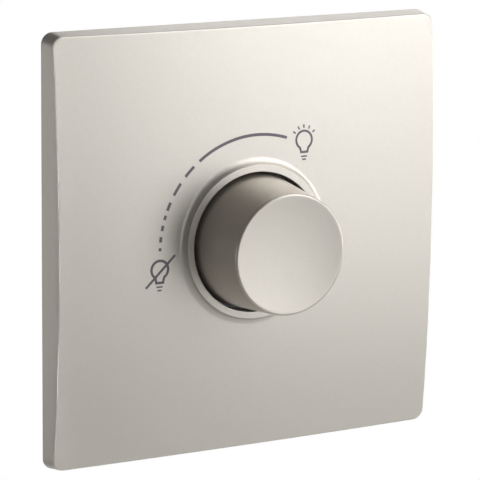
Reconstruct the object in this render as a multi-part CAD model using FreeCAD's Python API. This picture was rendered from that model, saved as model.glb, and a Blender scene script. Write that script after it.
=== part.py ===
import FreeCAD, Part
import math
import os

from FreeCAD import Vector

# Rotary dimmer switch on a square wall plate.
# Millimetres. X is to the right seen from the front, Z is up, and Y runs into the wall.
# The wall plane is Y = 0 and the knob's axis is the Y axis.

# Cover plate: a crowned moulding with drafted sides
plate_side = 86.0
plate_corner_radius = 2.3
plate_draft_deg = 7.0
corner_depth = 3.6
crown_up = 2.33
crown_across = 1.02
face_wall = 1.8
rim_wall = 1.6
face_edge_bevel = 0.3
surface_overhang = 8.6
face_rib_count = 8
face_rib_thickness = 1.2
face_rib_overhang = 4.0
face_rib_clear = 0.25

# Collar that stands round the knob
ring_front = 8.0
ring_bore_radius = 14.07
ring_width = 1.4
flank_slope = 0.45
flank_fillet = 1.8
sleeve_clear = 0.3

# Knob
knob_front = 21.2
knob_skirt_clear = 0.9
knob_ring_gap = 0.74
knob_taper = 0.101
knob_rim_bevel = 0.35
knob_dish_depth = 0.6
knob_wall = 1.8
knob_hub_wall = 1.55
knob_rib_count = 6
knob_rib_thickness = 1.0
knob_ring_seat_depth = 0.4
knob_hub_lip = 1.4
knob_hub_lift = 0.6
knob_rib_lift = 0.4
knob_bore_clear = 0.03
knob_bore_end_gap = 0.2

# Knob's spring ring
spring_thickness = 0.7
spring_width = 2.4
spring_gap_deg = 50.0

# Support frame
frame_gap = 4.4
frame_thickness = 2.0
frame_corner_cut = 6.0
frame_rim_height = 0.8
frame_rim_wall = 1.2
window_clear = 0.2
window_corner_radius = 2.0
box_screw_spacing = 60.3
box_slot_radius = 2.0
box_slot_length = 8.0

# Snap hooks and the frame windows that they pass
hook_spread = 13.0
hook_sink_gap = 4.8
hook_width = 7.0
hook_thickness = 1.5
hook_barb = 0.9
hook_clear = 0.5

# Heat-sink plate
sink_lap = 2.0
sink_thickness = 1.5
sink_corner_radius = 3.0

# Rear housing
housing_side = 45.6
housing_back = 26.0
housing_wall = 1.6
housing_corner_radius = 3.0
housing_back_bevel = 1.0
flange_width = 1.8
flange_thickness = 1.6
boss_radius = 3.1
boss_inset = 3.8
housing_screw_radius = 1.25
housing_screw_length = 12.0
housing_screw_head_radius = 2.4
screw_hole_clear = 0.05
ledge_width = 3.0
ledge_lap = 1.0
block_notch_clear = 0.1

# Potentiometer
shaft_radius = 3.0
shaft_clear = 0.05
shaft_front = 17.6
shaft_flat_depth = 1.5
shaft_flat_length = 7.4
shaft_end_bevel = 0.4
shaft_end_gap = 0.3
bushing_radius = 3.5
bushing_front = 9.0
bushing_flange_radius = 6.6
bushing_flange_thickness = 1.4
pot_body_radius = 6.4
pot_body_depth = 5.0
pot_body_floor = 1.0
pot_can_radius = 6.0
pot_foot_reach = 3.0
pot_foot_margin = 1.5
pot_foot_thickness = 1.8
pot_pin_size = 0.8
pot_pin_inset = 1.0
pot_pin_pitch = 4.0
washer_radius = 6.0
washer_thickness = 0.5
nut_across_flats = 10.0
nut_thickness = 2.0

# Circuit board
board_clear = 0.4
board_boss_clear = 0.2
board_front = 9.0
board_thickness = 1.6
pin_clear = 0.25
pin_stub = 0.8
pin_end_gap = 0.2

# Terminals
terminal_count = 3
terminal_pitch = 10.0
wire_bore_radius = 2.0
clamp_width = 7.0
clamp_height = 7.0
clamp_depth = 9.0
clamp_back_wall = 4.0
terminal_screw_radius = 1.75
terminal_screw_head_radius = 2.6
terminal_screw_head_height = 2.2
terminal_screw_tip_gap = 0.1
terminal_screw_head_gap = 0.4
terminal_slot_width = 0.8
terminal_slot_depth = 0.9
block_side_wall = 1.9
block_floor = 2.0
block_back_wall = 4.0
wire_funnel_clear = 0.25
screw_access_clear = 0.25

# Triac on the heat sink
triac_width = 10.0
triac_body_length = 9.2
triac_tab_length = 6.4
triac_body_thickness = 4.4
triac_tab_thickness = 1.3
triac_hole_radius = 1.55
triac_lead_size = 0.8
triac_lead_pitch = 2.54
triac_lead_drop = 2.6
triac_lead_depth = 2.5
triac_wall_gap = 0.4
triac_boss_gap = 0.9
pad_thickness = 0.3
triac_screw_head_radius = 2.7
triac_screw_head_height = 2.0
triac_screw_slot_depth = 1.0

# Choke, capacitors, fuse, trigger parts
part_wall_gap = 1.5
part_gap = 0.3
choke_core_inner = 3.4
choke_core_outer = 6.5
choke_core_height = 6.0
choke_winding_wall = 1.0
choke_winding_gap_deg = 40.0
filter_width = 13.0
filter_height = 6.0
filter_depth = 9.0
timing_width = 7.2
timing_height = 2.6
timing_depth = 6.4
capacitor_edge_bevel = 0.5
fuse_length = 20.0
fuse_radius = 2.6
fuse_cap_length = 5.2
fuse_cap_wall = 0.15
fuse_lift = 4.2
clip_thickness = 0.5
clip_width = 4.0
clip_mouth_rise = 1.6
resistor_radius = 1.2
resistor_length = 6.4
resistor_lead_size = 0.6
resistor_lead_span = 10.0
resistor_pitch = 2.6
diac_radius = 0.95
diac_length = 4.0

# Derived planes and radii
plate_half = plate_side / 2
crown_centre = corner_depth + crown_up + crown_across
draft = math.tan(math.radians(plate_draft_deg))
ring_outer_radius = ring_bore_radius + ring_width
frame_front = -frame_thickness
sink_front = frame_front - sink_thickness
sleeve_back = sink_front - sleeve_clear
knob_skirt = sink_front - knob_skirt_clear
knob_radius_at_ring = ring_bore_radius - knob_ring_gap
frame_side = plate_side - 2 * (rim_wall + frame_gap)
window_side = housing_side + 2 * window_clear
sink_side = window_side + 2 * sink_lap
hook_offset = sink_side / 2 + hook_sink_gap
housing_half = housing_side / 2
inner_half = housing_half - housing_wall
boss_place = housing_half - boss_inset
board_side = 2 * (inner_half - board_clear)
board_back = board_front + board_thickness
rear_wall_front = housing_back - housing_wall
corners = [(1, 1), (-1, 1), (-1, -1), (1, -1)]
screw_places = [(boss_place, boss_place), (-boss_place, -boss_place)]

# How far a cut passes a face, how deep a joined shape sinks in, and how near counts as the same place
past = 1.0
overlap = 0.5
near = 0.01

os.makedirs("parts", exist_ok=True)


def save(name, *solids):
    """Write one node: a single solid, or a group of separate ones."""
    shape = solids[0] if len(solids) == 1 else Part.makeCompound(list(solids))
    shape.exportStep(os.path.join("parts", name + ".step"))


def block(x, y, z):
    """A box from three (low, high) pairs."""
    corner = Vector(x[0], y[0], z[0])
    return Part.makeBox(x[1] - x[0], y[1] - y[0], z[1] - z[0], corner)


def about(centre, width):
    """The (low, high) pair of a width centred on a place."""
    return (centre - width / 2, centre + width / 2)


def rod(radius, y_from, y_to, x=0.0, z=0.0):
    """A cylinder along Y."""
    return Part.makeCylinder(radius, y_to - y_from, Vector(x, y_from, z), Vector(0, 1, 0))


def turned(outline):
    """A solid turned about the Y axis from (radius, y) points."""
    points = [Vector(radius, y, 0) for radius, y in outline]
    wire = Part.makePolygon(points + points[:1])
    return Part.Face(wire).revolve(Vector(0, 0, 0), Vector(0, 1, 0), 360)


def rounded_square(half, radius, y):
    """A square wire with round corners, square to the Y axis."""
    flat = half - radius
    bulge = flat + radius * math.cos(math.pi / 4)
    edges = []
    for step in range(4):
        turn = FreeCAD.Rotation(Vector(0, 1, 0), 90 * step)
        side = [Vector(-flat, y, half), Vector(flat, y, half)]
        arc = [Vector(flat, y, half), Vector(bulge, y, bulge), Vector(half, y, flat)]
        edges.append(Part.makeLine(*[turn.multVec(point) for point in side]))
        edges.append(Part.Arc(*[turn.multVec(point) for point in arc]).toShape())
    return Part.Wire(edges)


def square_prism(half, radius, y_from, y_to):
    """A square block along Y with round corners."""
    face = Part.Face(rounded_square(half, radius, y_from))
    return face.extrude(Vector(0, y_to - y_from, 0))


def slot(radius, length, y_from, y_to, x):
    """A round-ended slot that runs along X."""
    run = length / 2 - radius
    ends = [rod(radius, y_from, y_to, x + side * run) for side in (-1, 1)]
    middle = block(about(x, 2 * run), (y_from, y_to), (-radius, radius))
    return middle.fuse(ends).removeSplitter()


def turned_copies(shape, count):
    """The shape repeated evenly round the Y axis."""
    step = 360.0 / count
    return [shape.rotated(Vector(0, 0, 0), Vector(0, 1, 0), step * index) for index in range(count)]


# Cover plate
def behind_crown(shift):
    """Everything behind the crowned face, moved into the wall by shift."""
    reach = plate_half + surface_overhang
    end_share = 1 - (reach / plate_half) ** 2
    middle_share = 1 + (reach / plate_half) ** 2
    surface = Part.BezierSurface()
    surface.increase(2, 2)
    for i, (x, across) in enumerate(zip((-reach, 0, reach), (end_share, middle_share, end_share))):
        for j, (z, up) in enumerate(zip((-reach, 0, reach), (end_share, middle_share, end_share))):
            depth = corner_depth + crown_up * up + crown_across * across
            surface.setPole(i + 1, j + 1, Vector(x, shift - depth, z))
    return surface.toShape().extrude(Vector(0, 2 * plate_half, 0))


def crown_depth(x, z):
    """How far the crowned face stands off the wall at x, z."""
    up = 1 - (z / plate_half) ** 2
    across = 1 - (x / plate_half) ** 2
    return corner_depth + crown_up * up + crown_across * across


def drafted_block(half, radius):
    """A square block from the wall plane that narrows towards the front."""
    front = crown_centre + past
    inset = front * draft
    back_wire = rounded_square(half, radius, 0.0)
    front_wire = rounded_square(half - inset, max(radius - inset, radius / 2), -front)
    return Part.makeLoft([back_wire, front_wire], True, True)


def front_edges(shape):
    """The long edges where the crowned face meets the drafted sides."""
    found = []
    for edge in shape.Edges:
        middle = edge.valueAt((edge.FirstParameter + edge.LastParameter) / 2)
        depth = crown_depth(middle.x, middle.z)
        outside = max(abs(middle.x), abs(middle.z)) > plate_half - plate_corner_radius
        if outside and abs(middle.y + depth) < near:
            found.append(edge)
    return found


def flank_edges(shape):
    """The edges where the collar's flank meets the crowned face."""
    found = []
    for edge in shape.Edges:
        middle = edge.valueAt((edge.FirstParameter + edge.LastParameter) / 2)
        radius = math.hypot(middle.x, middle.z)
        depth = crown_depth(middle.x, middle.z)
        near_collar = ring_outer_radius < radius < ring_outer_radius + 2 * ring_width
        if near_collar and abs(middle.y + depth) < near:
            found.append(edge)
    return found


def snap_hook(side_x, side_z):
    """A hook on the back of the face that passes the frame and grips behind it."""
    x = about(side_x * hook_spread, hook_width)
    root = -crown_depth(side_x * hook_spread, hook_offset) + face_wall / 2
    tip = hook_thickness + hook_clear
    inner = side_z * hook_offset
    outer = side_z * (hook_offset + hook_thickness)
    nose = side_z * (hook_offset + hook_thickness + hook_barb)
    outline = [
        Vector(x[0], root, inner),
        Vector(x[0], root, outer),
        Vector(x[0], 0.0, outer),
        Vector(x[0], 0.0, nose),
        Vector(x[0], hook_clear, nose),
        Vector(x[0], tip, outer),
        Vector(x[0], tip, inner),
    ]
    wire = Part.makePolygon(outline + outline[:1])
    return Part.Face(wire).extrude(Vector(hook_width, 0, 0))


def make_cover_plate():
    """Shelled crowned plate with its collar, ribs and snap hooks in one moulding."""
    outside = drafted_block(plate_half, plate_corner_radius).common(behind_crown(0.0))
    collar_root = -crown_centre + face_wall / 2
    flank_foot = ring_outer_radius + (ring_front + collar_root) * flank_slope
    collar = turned([
        (0.0, -ring_front),
        (ring_outer_radius, -ring_front),
        (flank_foot, collar_root),
        (0.0, collar_root),
    ])
    outside = outside.fuse(collar).removeSplitter()
    outside = outside.makeFillet(flank_fillet, flank_edges(outside))
    outside = outside.makeChamfer(face_edge_bevel, front_edges(outside))

    inner_radius = max(plate_corner_radius - rim_wall, plate_corner_radius / 4)
    hollow = drafted_block(plate_half - rim_wall, inner_radius).common(behind_crown(face_wall))
    shell = outside.cut(hollow)

    rib_start = (ring_bore_radius + ring_outer_radius) / 2
    rib_end = sink_side / 2 + face_rib_overhang
    rib_depth = (collar_root, sink_front - face_rib_clear)
    rib = block((rib_start, rib_end), rib_depth, about(0, face_rib_thickness))
    ribs = [copy.common(behind_crown(face_wall / 2)) for copy in turned_copies(rib, face_rib_count)]
    sleeve = rod(ring_outer_radius, collar_root, sleeve_back)
    hooks = [snap_hook(side_x, side_z) for side_x, side_z in corners]
    shell = shell.fuse([sleeve] + ribs + hooks)
    return shell.cut(rod(ring_bore_radius, -ring_front - past, past)).removeSplitter()


# Support frame with box-screw slots and hook windows
def make_support_frame():
    """Flat moulded frame that is screwed to the wall box."""
    half = frame_side / 2
    frame = block((-half, half), (frame_front, 0), (-half, half))
    rim_front = frame_front - frame_rim_height
    rim = block((-half, half), (rim_front, frame_front), (-half, half))
    rim_inner = half - frame_rim_wall
    rim = rim.cut(block((-rim_inner, rim_inner), (rim_front, frame_front), (-rim_inner, rim_inner)))
    frame = frame.fuse(rim)
    corner_half = half - frame_corner_cut / 2
    diagonal = corner_half * math.sqrt(2)
    keep = block((-diagonal, diagonal), (rim_front - past, past), (-diagonal, diagonal))
    keep = keep.rotated(Vector(0, 0, 0), Vector(0, 1, 0), 45)
    frame = frame.common(keep)

    window = square_prism(window_side / 2, window_corner_radius, frame_front - past, past)
    frame = frame.cut(window)
    for side in (-1, 1):
        place = side * box_screw_spacing / 2
        frame = frame.cut(slot(box_slot_radius, box_slot_length, rim_front - past, past, place))
    for side_x, side_z in corners:
        x = about(side_x * hook_spread, hook_width + 2 * hook_clear)
        z_inner = side_z * (hook_offset - hook_barb - hook_clear)
        z_outer = side_z * (hook_offset + hook_thickness)
        z = (min(z_inner, z_outer), max(z_inner, z_outer))
        frame = frame.cut(block(x, (frame_front - past, past), z))
    return frame.removeSplitter()


# Heat-sink plate with the bushing hole, the triac's tapped hole and countersinks
def make_heat_sink():
    """Aluminium plate that clamps the frame and carries the potentiometer and triac."""
    plate = square_prism(sink_side / 2, sink_corner_radius, sink_front, frame_front)
    plate = plate.cut(rod(bushing_radius + shaft_clear, sink_front - past, frame_front + past))
    plate = plate.cut(rod(triac_hole_radius, sink_front - past, frame_front + past, triac_x, triac_hole_z))
    for x, z in screw_places:
        plate = plate.cut(housing_screw_form(x, z, screw_hole_clear))
    return plate


def housing_screw_form(x, z, clear):
    """A countersunk screw along Y, or its hole when clear is above zero."""
    head_depth = housing_screw_head_radius - housing_screw_radius
    outline = [
        (0.0, sink_front),
        (housing_screw_head_radius + clear, sink_front),
        (housing_screw_radius + clear, sink_front + head_depth),
        (housing_screw_radius + clear, sink_front + housing_screw_length),
        (0.0, sink_front + housing_screw_length),
    ]
    return turned(outline).translated(Vector(x, 0, z))


def make_housing_screws():
    """Countersunk screws that clamp heat sink, frame and housing."""
    return [housing_screw_form(x, z, 0.0) for x, z in screw_places]


# Rear housing
def terminal_places():
    """Middle of each terminal along X."""
    first = -(terminal_count - 1) / 2 * terminal_pitch
    return [first + index * terminal_pitch for index in range(terminal_count)]


block_half_width = (terminal_count - 1) / 2 * terminal_pitch + clamp_width / 2 + block_side_wall
block_low = -housing_half
clamp_low = block_low + block_floor
clamp_high = clamp_low + clamp_height
clamp_z = (clamp_low + clamp_high) / 2
block_high = clamp_high + block_side_wall
clamp_back = housing_back - block_back_wall
clamp_front = clamp_back - clamp_depth
wire_y = clamp_back - clamp_back_wall - wire_bore_radius


def make_rear_housing():
    """Deep moulded box with a clamping flange, screw bosses and board ribs."""
    body = square_prism(housing_half, housing_corner_radius, frame_front, housing_back)
    back_edges = [edge for edge in body.Edges if edge.BoundBox.YMin > housing_back - near]
    body = body.makeChamfer(housing_back_bevel, back_edges)
    flange = square_prism(housing_half + flange_width, housing_corner_radius, 0.0, flange_thickness)
    body = body.fuse(flange)
    inner_radius = housing_corner_radius - housing_wall / 2
    hollow = square_prism(inner_half, inner_radius, frame_front, rear_wall_front)
    for x, z in screw_places:
        boss = rod(boss_radius, frame_front, rear_wall_front, x, z)
        corner = math.copysign(inner_half + past, x)
        gusset = block(sorted((x, corner)), (frame_front, rear_wall_front), sorted((z, corner)))
        hollow = hollow.cut(boss.fuse(gusset))
    ledge_x = (board_side / 2 - ledge_lap, inner_half + past)
    ledge = block(ledge_x, (board_back, rear_wall_front), about(0, ledge_width))
    for angle in (0, 180, 270):
        hollow = hollow.cut(ledge.rotated(Vector(0, 0, 0), Vector(0, 1, 0), angle))
    body = body.cut(hollow)
    notch_half = block_half_width + block_notch_clear
    notch_z = (block_low - past, block_high + block_notch_clear)
    body = body.cut(block((-notch_half, notch_half), (board_back, housing_back + past), notch_z))
    for x, z in screw_places:
        body = body.cut(rod(housing_screw_radius, frame_front, sink_front + housing_screw_length, x, z))
    return body.removeSplitter()


# Terminal block, clamps and screws
def make_terminal_block():
    """Moulded block that holds the clamps and guides wires and screwdriver."""
    x = (-block_half_width, block_half_width)
    body = block(x, (board_back, housing_back), (block_low, block_high))
    for place in terminal_places():
        pocket = block(about(place, clamp_width), (board_back, clamp_back), (clamp_low, clamp_high))
        entry = Vector(place, wire_y, block_low)
        funnel = Part.makeCylinder(wire_bore_radius + wire_funnel_clear, block_floor, entry)
        access_radius = terminal_screw_head_radius + screw_access_clear
        access = rod(access_radius, clamp_back, housing_back, place, clamp_z)
        body = body.cut([pocket, funnel, access])
    return body


def make_clamp(place):
    """Brass tunnel with a wire bore, a tapped screw hole and a solder pin."""
    body = block(about(place, clamp_width), (clamp_front, clamp_back), (clamp_low, clamp_high))
    bore = Part.makeCylinder(wire_bore_radius, clamp_height, Vector(place, wire_y, clamp_low))
    tapped = rod(terminal_screw_radius, wire_y, clamp_back, place, clamp_z)
    pin_y = (board_front - pin_stub, clamp_front)
    pin = block(about(place, pot_pin_size), pin_y, about(clamp_z, pot_pin_size))
    return body.cut([bore, tapped]).fuse(pin)


def make_terminal_screw(place):
    """Slotted screw whose tip stops at the wire bore."""
    tip = wire_y + wire_bore_radius + terminal_screw_tip_gap
    head_front = clamp_back + terminal_screw_head_gap
    head_back = head_front + terminal_screw_head_height
    screw = rod(terminal_screw_radius, tip, head_front, place, clamp_z)
    head = rod(terminal_screw_head_radius, head_front, head_back, place, clamp_z)
    slot_x = about(place, 3 * terminal_screw_head_radius)
    slot_y = (head_back - terminal_slot_depth, head_back + past)
    driver = block(slot_x, slot_y, about(clamp_z, terminal_slot_width))
    return screw.fuse(head).cut(driver)


# Potentiometer
def make_bushing():
    """Die-cast mounting face and threaded bushing."""
    bore = shaft_radius + shaft_clear
    flange_back = frame_front + bushing_flange_thickness
    return turned([
        (bore, -bushing_front),
        (bushing_radius, -bushing_front),
        (bushing_radius, frame_front),
        (bushing_flange_radius, frame_front),
        (bushing_flange_radius, flange_back),
        (bore, flange_back),
    ])


pot_body_front = frame_front + bushing_flange_thickness
pot_body_back = pot_body_front + pot_body_depth
pot_can_back = board_front - pin_stub - pin_end_gap
pot_foot_z = -pot_body_radius - pot_foot_reach
pot_pin_z = pot_foot_z + pot_pin_inset


def make_pot_body():
    """Round track carrier with the square foot that holds the pins."""
    body = rod(pot_body_radius, pot_body_front, pot_body_back)
    foot_x = about(0, 2 * (pot_pin_pitch + pot_foot_margin))
    foot = block(foot_x, (pot_body_front, pot_body_front + pot_foot_thickness), (pot_foot_z, 0))
    socket = rod(shaft_radius + shaft_clear, pot_body_front, pot_body_back - pot_body_floor)
    return body.fuse(foot).cut(socket).removeSplitter()


def make_pot_pins():
    """Three track pins that run back to the board."""
    pins = []
    y = (pot_body_front + pot_foot_thickness, board_back)
    for index in (-1, 0, 1):
        x = about(index * pot_pin_pitch, pot_pin_size)
        pins.append(block(x, y, about(pot_pin_z, pot_pin_size)))
    return pins


def make_shaft():
    """Round shaft with a flat at its front end."""
    shaft = rod(shaft_radius, -shaft_front, pot_body_back - pot_body_floor - shaft_end_gap)
    front_edge = [edge for edge in shaft.Edges if edge.BoundBox.YMax < shaft_end_bevel - shaft_front]
    shaft = shaft.makeChamfer(shaft_end_bevel, front_edge)
    return shaft.cut(shaft_flat(0.0, -shaft_front + shaft_flat_length))


def shaft_flat(clear, back):
    """What is cut off the shaft to leave its flat, moved out by a clearance."""
    reach = shaft_radius + past
    y = (-shaft_front - past, back)
    return block((-reach, reach), y, (shaft_radius - shaft_flat_depth + clear, reach))


def make_nut():
    """Hexagon nut on the bushing."""
    back = sink_front - washer_thickness
    corner = nut_across_flats / math.sqrt(3)
    points = []
    for index in range(7):
        angle = math.radians(60 * index)
        points.append(Vector(corner * math.cos(angle), back - nut_thickness, corner * math.sin(angle)))
    hexagon = Part.Face(Part.makePolygon(points)).extrude(Vector(0, nut_thickness, 0))
    return hexagon.cut(rod(bushing_radius, back - nut_thickness, back))


def make_washer():
    """Plain washer under the nut."""
    front = sink_front - washer_thickness
    washer = rod(washer_radius, front, sink_front)
    return washer.cut(rod(bushing_radius, front, sink_front))


# Knob
knob_hub_radius = shaft_radius + knob_hub_wall
knob_hub_back = -bushing_front - knob_hub_lift
knob_cavity_front = -knob_front + knob_dish_depth + knob_wall
spring_back = knob_hub_back - knob_hub_lip
spring_front = spring_back - spring_width


def knob_radius(y):
    """Radius of the knob's straight side at a depth."""
    return knob_radius_at_ring + (y + ring_front) * knob_taper


def make_knob():
    """Hollow tapered cap with a dished face, a hub and ribs."""
    rim_back = -knob_front + knob_rim_bevel
    dish_lip = knob_radius(-knob_front) - knob_rim_bevel
    cap = turned([
        (0.0, -knob_front),
        (dish_lip, -knob_front),
        (knob_radius(rim_back), rim_back),
        (knob_radius(knob_skirt), knob_skirt),
        (0.0, knob_skirt),
    ])
    dish_radius = (dish_lip**2 + knob_dish_depth**2) / (2 * knob_dish_depth)
    dish_centre = Vector(0, -knob_front + knob_dish_depth - dish_radius, 0)
    cap = cap.cut(Part.makeSphere(dish_radius, dish_centre))

    cavity_radius = knob_radius(knob_cavity_front) - knob_wall
    cap = cap.cut(rod(cavity_radius, knob_cavity_front, knob_skirt))
    root = knob_cavity_front - overlap
    hub = rod(knob_hub_radius, root, knob_hub_back)
    rib_x = (knob_hub_radius - overlap, cavity_radius + overlap)
    rib = block(rib_x, (root, spring_front - knob_rib_lift), about(0, knob_rib_thickness))
    cap = cap.fuse([hub] + turned_copies(rib, knob_rib_count)).removeSplitter()

    bore = rod(shaft_radius + knob_bore_clear, -shaft_front - knob_bore_end_gap, knob_hub_back)
    bore = bore.cut(shaft_flat(knob_bore_clear, -shaft_front + shaft_flat_length - knob_bore_end_gap))
    seat = rod(knob_hub_radius, spring_front, spring_back)
    seat = seat.cut(rod(knob_hub_radius - knob_ring_seat_depth, spring_front, spring_back))
    return cap.cut([bore, seat]).removeSplitter()


def make_knob_spring():
    """Open spring ring that closes the hub on the shaft."""
    inner = knob_hub_radius - knob_ring_seat_depth
    outline = [
        Vector(inner, spring_front, 0),
        Vector(inner + spring_thickness, spring_front, 0),
        Vector(inner + spring_thickness, spring_back, 0),
        Vector(inner, spring_back, 0),
    ]
    face = Part.Face(Part.makePolygon(outline + outline[:1]))
    face.rotate(Vector(0, 0, 0), Vector(0, 1, 0), spring_gap_deg / 2)
    return face.revolve(Vector(0, 0, 0), Vector(0, 1, 0), 360 - spring_gap_deg)


# Triac and its fixings
triac_front = frame_front + pad_thickness
triac_top = boss_place - boss_radius - triac_boss_gap
triac_high = triac_top - triac_tab_length
triac_low = triac_high - triac_body_length
triac_x = -(inner_half - triac_wall_gap - triac_width / 2)
triac_hole_z = triac_high + triac_tab_length / 2
triac_lead_z = triac_low - triac_lead_drop
triac_leads_x = [triac_x + index * triac_lead_pitch for index in (-1, 0, 1)]


def make_triac_pad():
    """Insulating pad between tab and heat sink."""
    pad = block(about(triac_x, triac_width), (frame_front, triac_front), (triac_low, triac_top))
    return pad.cut(rod(triac_hole_radius, frame_front, triac_front, triac_x, triac_hole_z))


def make_triac_body():
    """Moulded body of the triac."""
    y = (triac_front + triac_tab_thickness, triac_front + triac_body_thickness)
    return block(about(triac_x, triac_width), y, (triac_low, triac_high))


def make_triac_tab():
    """Metal tab behind the body, with the fixing hole."""
    y = (triac_front, triac_front + triac_tab_thickness)
    tab = block(about(triac_x, triac_width), y, (triac_low, triac_top))
    return tab.cut(rod(triac_hole_radius, *y, triac_x, triac_hole_z))


def make_triac_leads():
    """Three leads bent back to the board."""
    leads = []
    y = about(triac_front + triac_lead_depth, triac_lead_size)
    for place in triac_leads_x:
        x = about(place, triac_lead_size)
        drop = block(x, y, (triac_lead_z, triac_low))
        run = block(x, (y[0], board_back), (triac_lead_z, triac_lead_z + triac_lead_size))
        leads.append(drop.fuse(run).removeSplitter())
    return leads


def make_triac_screw():
    """Pan-head screw through tab and pad into the heat sink."""
    head_front = triac_front + triac_tab_thickness
    head_back = head_front + triac_screw_head_height
    shank = rod(triac_hole_radius, sink_front, head_front, triac_x, triac_hole_z)
    head = rod(triac_screw_head_radius, head_front, head_back, triac_x, triac_hole_z)
    slot_x = about(triac_x, 3 * triac_screw_head_radius)
    slot_y = (head_back - triac_screw_slot_depth, head_back + past)
    driver = block(slot_x, slot_y, about(triac_hole_z, terminal_slot_width))
    return shank.fuse(head).cut(driver)


# Parts on the board's back: fuse over the terminals, choke over the fuse, the others down the right side
fuse_x = -(inner_half - part_wall_gap - fuse_length / 2)
fuse_z = block_high + part_gap + fuse_radius + clip_thickness
choke_reach = choke_core_outer + choke_winding_wall
choke_x = -(inner_half - part_wall_gap - choke_reach)
choke_z = fuse_z + fuse_radius + clip_thickness + part_gap + choke_reach
column_x = inner_half - part_wall_gap - filter_width / 2
filter_z = boss_place - boss_radius - part_gap - filter_height / 2
timing_z = filter_z - (filter_height + timing_height) / 2 - part_gap
first_row_z = timing_z - timing_height / 2 - part_gap - resistor_radius


def make_choke_core():
    """Ring core of the choke."""
    front = board_back + choke_winding_wall
    back = front + choke_core_height
    ring = rod(choke_core_outer, front, back, choke_x, choke_z)
    return ring.cut(rod(choke_core_inner, front, back, choke_x, choke_z))


def make_choke_winding():
    """Wound wire round most of the core, as one layer."""
    half_height = choke_core_height / 2
    middle = board_back + choke_winding_wall + half_height
    wall = choke_winding_wall

    def section(grow):
        low = middle - half_height - grow
        high = middle + half_height + grow
        points = [
            Vector(choke_core_inner - grow, low, 0),
            Vector(choke_core_outer + grow, low, 0),
            Vector(choke_core_outer + grow, high, 0),
            Vector(choke_core_inner - grow, high, 0),
        ]
        return Part.Face(Part.makePolygon(points + points[:1]))

    sweep = 360 - choke_winding_gap_deg
    outer = section(wall).revolve(Vector(0, 0, 0), Vector(0, 1, 0), sweep)
    inner = section(0.0).revolve(Vector(0, 0, 0), Vector(0, 1, 0), 360)
    winding = outer.cut(inner)
    winding.rotate(Vector(0, 0, 0), Vector(0, 1, 0), choke_winding_gap_deg / 2)
    winding.translate(Vector(choke_x, 0, choke_z))
    return winding


def boxed_capacitor(z, width, height, depth):
    """Film capacitor in a moulded box."""
    body = block(about(column_x, width), (board_back, board_back + depth), about(z, height))
    edges = [edge for edge in body.Edges if edge.BoundBox.YMin > board_back + depth - near]
    return body.makeChamfer(capacitor_edge_bevel, edges)


def fuse_ends():
    """Middle of each fuse cap along X."""
    run = (fuse_length - fuse_cap_length) / 2
    return [fuse_x - run, fuse_x + run]


def lying(radius, x_from, x_to, y, z):
    """A cylinder along X."""
    return Part.makeCylinder(radius, x_to - x_from, Vector(x_from, y, z), Vector(1, 0, 0))


def make_fuse():
    """Glass tube with an end cap at each end."""
    y = board_back + fuse_lift
    half = fuse_length / 2
    fuse = lying(fuse_radius - fuse_cap_wall, fuse_x - half, fuse_x + half, y, fuse_z)
    caps = [lying(fuse_radius, *about(place, fuse_cap_length), y, fuse_z) for place in fuse_ends()]
    return fuse.fuse(caps).removeSplitter()


def make_fuse_clips():
    """Spring clips that hold the fuse on the board."""
    clips = []
    y = board_back + fuse_lift
    outer = fuse_radius + clip_thickness
    for place in fuse_ends():
        x = about(place, clip_width)
        cheeks = lying(outer, *x, y, fuse_z)
        foot = block(x, (board_back, y), about(fuse_z, 2 * outer))
        clip = cheeks.fuse(foot)
        clip = clip.cut(lying(fuse_radius, *x, y, fuse_z))
        inside = block(x, (board_back + clip_thickness, y), about(fuse_z, 2 * fuse_radius))
        mouth = block(x, (y + clip_mouth_rise, y + outer), about(fuse_z, 2 * outer))
        clips.append(clip.cut([inside, mouth]).removeSplitter())
    return clips


def axial_part(radius, length, row):
    """Body of one axial part that lies on the board."""
    z = first_row_z - row * resistor_pitch
    y = board_back + resistor_radius
    return lying(radius, column_x - length / 2, column_x + length / 2, y, z)


def axial_leads(length, row):
    """Two leads of an axial part, bent down into the board."""
    z = about(first_row_z - row * resistor_pitch, resistor_lead_size)
    y = about(board_back + resistor_radius, resistor_lead_size)
    leads = []
    for side in (-1, 1):
        near = column_x + side * length / 2
        far = column_x + side * resistor_lead_span / 2
        run = block(sorted((near, far)), y, z)
        drop = block(about(far, resistor_lead_size), (board_front - pin_stub, y[1]), z)
        leads.append(run.fuse(drop).removeSplitter())
    return leads


# Circuit board with its holes
def make_board():
    """Board with corner cut-outs for the bosses and holes for every pin."""
    half = board_side / 2
    board = square_prism(half, housing_corner_radius, board_front, board_back)
    cuts = []
    corner = boss_place - boss_radius - board_boss_clear
    for side in (-1, 1):
        reach = sorted((side * corner, side * half))
        cuts.append(block(reach, (board_front, board_back), reach))
    pins = [(place, clamp_z) for place in terminal_places()]
    pins += [(index * pot_pin_pitch, pot_pin_z) for index in (-1, 0, 1)]
    pins += [(place, triac_lead_z + triac_lead_size / 2) for place in triac_leads_x]
    for row in range(4):
        z = first_row_z - row * resistor_pitch
        pins += [(column_x + side * resistor_lead_span / 2, z) for side in (-1, 1)]
    hole = pot_pin_size + 2 * pin_clear
    for x, z in pins:
        cuts.append(block(about(x, hole), (board_front, board_back), about(z, hole)))
    return board.cut(cuts)


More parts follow.
